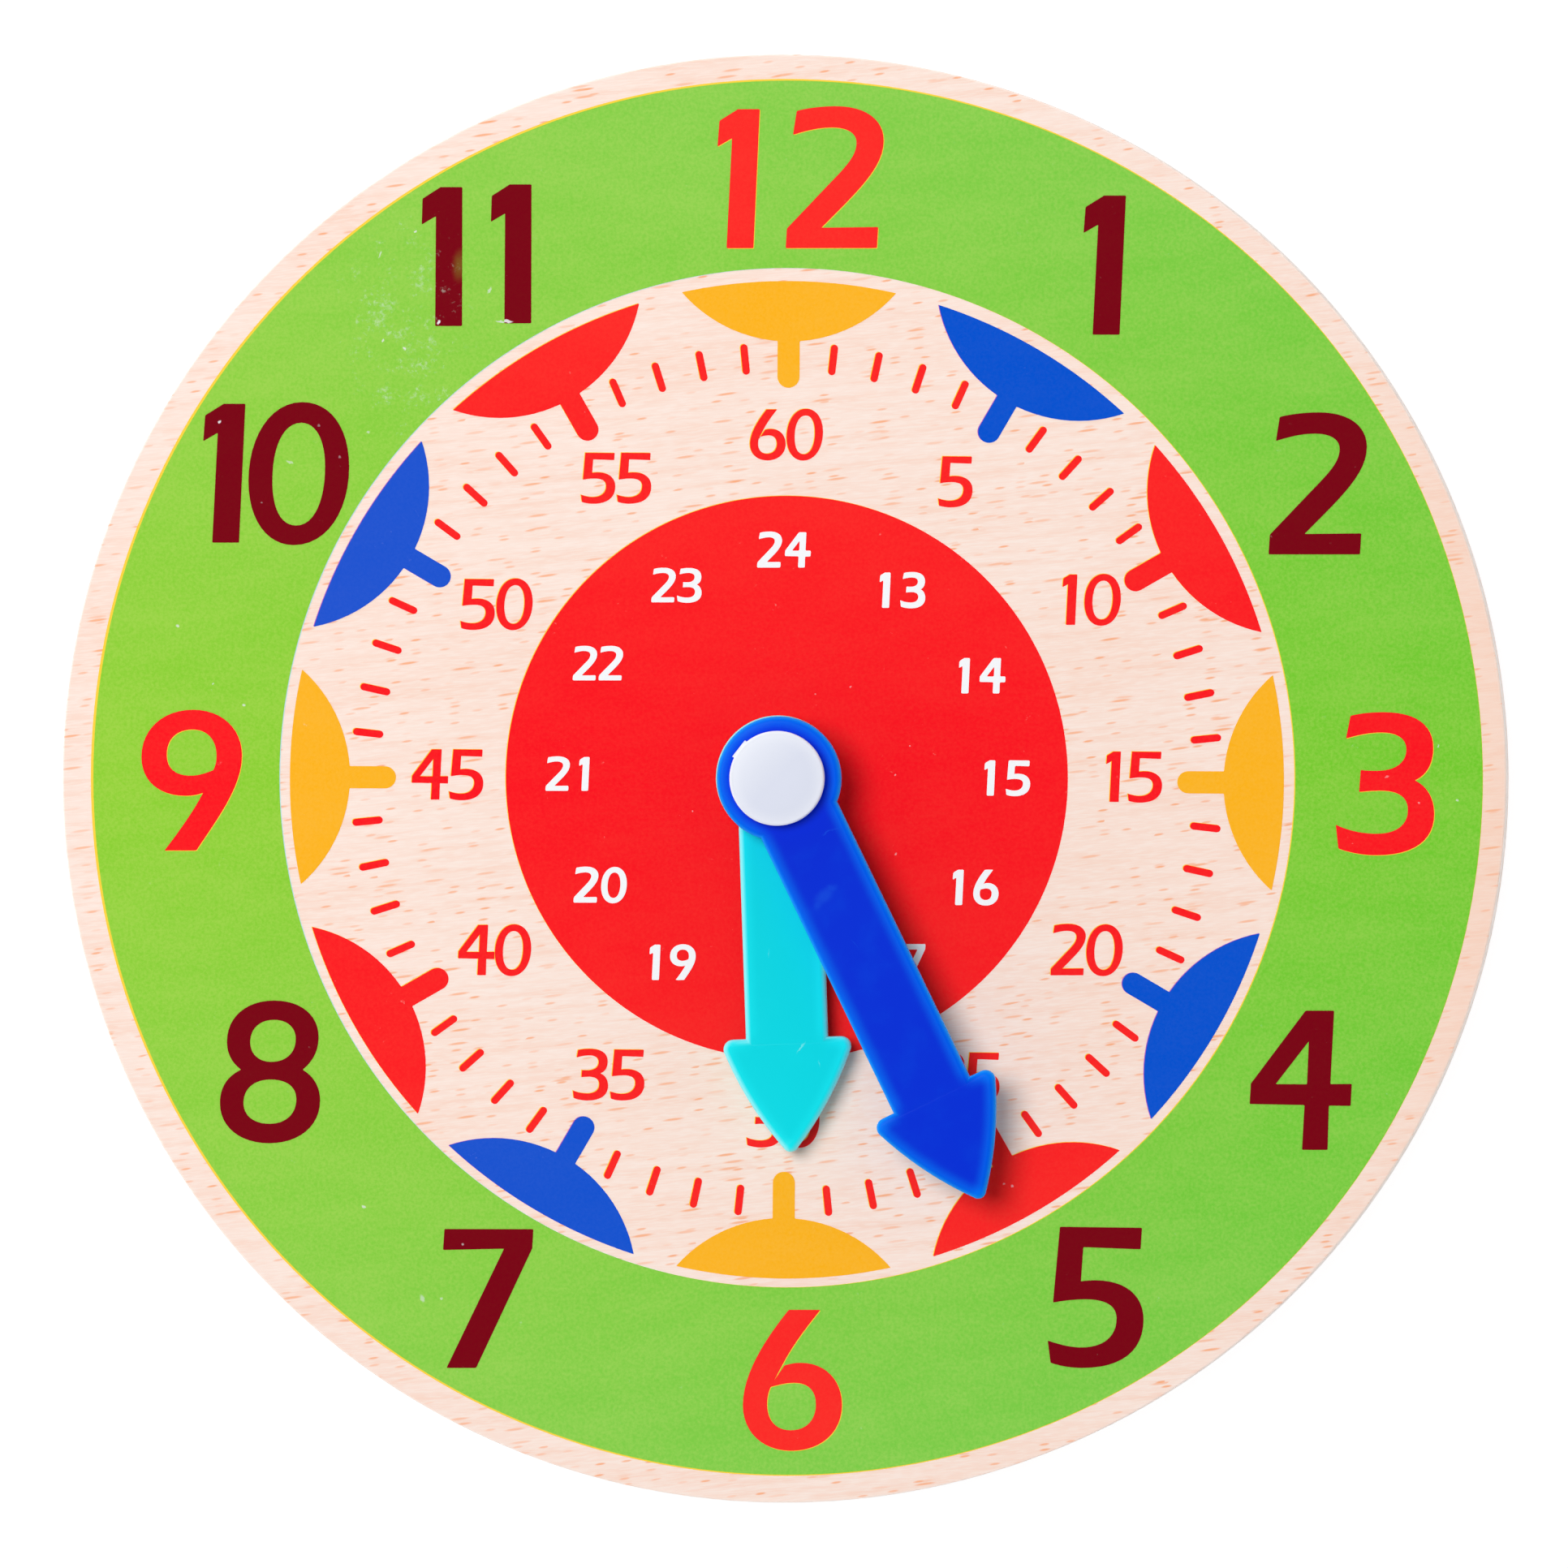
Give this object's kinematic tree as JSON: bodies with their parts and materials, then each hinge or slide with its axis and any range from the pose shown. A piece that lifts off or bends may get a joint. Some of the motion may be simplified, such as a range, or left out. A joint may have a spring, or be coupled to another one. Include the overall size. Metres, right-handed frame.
{
  "type": "wooden teaching clock",
  "caption": "Round plywood teaching clock with printed hour, minute and 24 hour numbers, and plastic hour and minute hands that turn by hand on a snap rivet.",
  "frame": {"origin": "middle of the back face, on the axis that both hands turn on", "axes": "+Z out of the dial, +Y towards the twelve, +X towards the three; the clock lies on its back"},
  "size_m": [0.15, 0.15, 0.0129],
  "materials": {
    "beech_veneer": "sanded beech veneer under a thin matt lacquer",
    "plywood_core": "sawn and sanded edge of the plywood's cross ply",
    "green_ink": "screen printed ink film",
    "red_ink": "screen printed ink film",
    "maroon_ink": "screen printed ink film, printed over green",
    "orange_ink": "screen printed ink film",
    "blue_ink": "screen printed ink film",
    "turquoise_plastic": "injection moulded, satin gloss",
    "blue_plastic": "injection moulded, satin gloss",
    "white_plastic": "injection moulded, satin gloss"
  },
  "bodies": {
    "board": {"face_veneer": "beech_veneer", "plywood_core": "plywood_core", "back_veneer": "beech_veneer", "hour_band_print": "green_ink", "centre_disc_print": "red_ink", "marker_print_01": "blue_ink", "marker_print_02": "red_ink", "marker_print_03": "orange_ink", "marker_print_04": "blue_ink", "marker_print_05": "red_ink", "marker_print_06": "orange_ink", "marker_print_07": "blue_ink", "marker_print_08": "red_ink", "marker_print_09": "orange_ink", "marker_print_10": "blue_ink", "marker_print_11": "red_ink", "marker_print_12": "orange_ink", "hour_numeral_1": "maroon_ink", "hour_numeral_2": "maroon_ink", "hour_numeral_3": "red_ink", "hour_numeral_4": "maroon_ink", "hour_numeral_5": "maroon_ink", "hour_numeral_6": "red_ink", "hour_numeral_7": "maroon_ink", "hour_numeral_8": "maroon_ink", "hour_numeral_9": "red_ink", "hour_numeral_10_tens": "maroon_ink", "hour_numeral_10_units": "maroon_ink", "hour_numeral_11_tens": "maroon_ink", "hour_numeral_11_units": "maroon_ink", "hour_numeral_12_tens": "red_ink", "hour_numeral_12_units": "red_ink"},
    "hour_hand": {"hour_hand": "turquoise_plastic"},
    "minute_hand": {"minute_hand": "blue_plastic"},
    "rivet": {"rivet_cap": "white_plastic", "rivet_lock": "white_plastic", "base_washer": "white_plastic", "middle_washer": "white_plastic"}
  },
  "joints": [
    {"name": "hour_hand_turn", "type": "hinge", "parent": "board", "child": "hour_hand", "pos_m": [0, 0, 0.00715], "axis": [0, 0, -1], "continuous": true},
    {"name": "minute_hand_turn", "type": "hinge", "parent": "board", "child": "minute_hand", "pos_m": [0, 0, 0.01025], "axis": [0, 0, -1], "continuous": true},
    {"name": "rivet_turn", "type": "hinge", "parent": "board", "child": "rivet", "pos_m": [0, 0, 0.0025], "axis": [0, 0, -1], "continuous": true}
  ]
}
